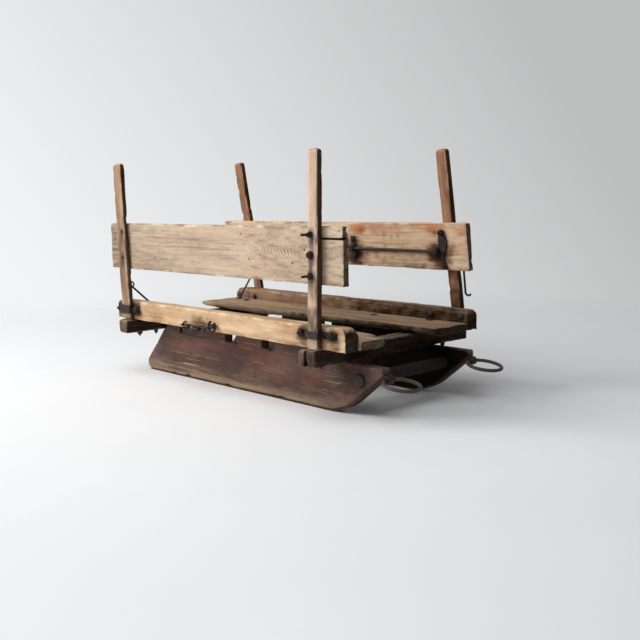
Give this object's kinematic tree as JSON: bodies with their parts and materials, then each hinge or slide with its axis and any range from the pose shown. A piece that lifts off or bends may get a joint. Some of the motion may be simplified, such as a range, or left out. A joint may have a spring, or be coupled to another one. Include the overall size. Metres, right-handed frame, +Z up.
{
  "type": "wooden stake-sided sled",
  "caption": "Old wooden hauling sled with plank runners on iron shoes, a slatted deck between side rails, stake panels and iron tow rings at the noses.",
  "frame": {"origin": "floor level, midway along and across the sled's overall box", "axes": "+X forward towards the tow rings, +Y to the sled's left, +Z up"},
  "size_m": [1.1938, 0.616, 0.6699],
  "materials": {
    "painted_wood": "worn dark paint",
    "rail_wood": "bare honey-coloured wood",
    "grey_wood": "weathered",
    "board_wood": "weathered bare wood",
    "stake_wood": "weathered bare wood",
    "bolster_wood": "weathered",
    "shoe_iron": "rusted and polished by wear",
    "ring_iron": "dull rusted iron",
    "black_iron": "dark forged iron with rust"
  },
  "bodies": {
    "sled": {"brace_hook_left": "black_iron", "chain_hook": "black_iron", "chain_staple": "black_iron", "deck_plank_left": "grey_wood", "deck_plank_right": "grey_wood", "front_bolster_aft": "bolster_wood", "front_bolster_fore": "bolster_wood", "front_rung": "bolster_wood", "gate_rod_left": "black_iron", "gate_rod_right": "black_iron", "hook_pin": "black_iron", "lashing_bar": "black_iron", "lashing_chain": "black_iron", "pivot_plate_left": "black_iron", "pivot_plate_right": "black_iron", "rail_left": "grey_wood", "rail_right": "rail_wood", "rear_bolster": "bolster_wood", "rear_brace_left": "black_iron", "rear_brace_right": "black_iron", "rod_keeper_left": "black_iron", "rod_keeper_right": "black_iron", "runner_left": "painted_wood", "runner_right": "painted_wood", "shoe_left": "shoe_iron", "shoe_right": "shoe_iron", "side_board_left": "board_wood", "side_board_right": "board_wood", "stake_front_left": "stake_wood", "stake_front_right": "stake_wood", "stake_rear_left": "stake_wood", "stake_rear_right": "stake_wood", "stake_strap_front_left": "black_iron", "stake_strap_front_right": "black_iron", "stake_strap_rear_left": "black_iron", "stake_strap_rear_right": "black_iron"},
    "tow_ring_right": {"tow_ring_right": "ring_iron"},
    "tow_ring_left": {"tow_ring_left": "ring_iron"}
  },
  "joints": [
    {"name": "tow_ring_left_swing", "type": "hinge", "parent": "sled", "child": "tow_ring_left", "pos_m": [0.50533, 0.155, 0.10525], "axis": [0, -1, 0], "range_deg": [-124, 120]},
    {"name": "tow_ring_right_swing", "type": "hinge", "parent": "sled", "child": "tow_ring_right", "pos_m": [0.50533, -0.179, 0.10525], "axis": [0, -1, 0], "range_deg": [-124, 120]}
  ]
}
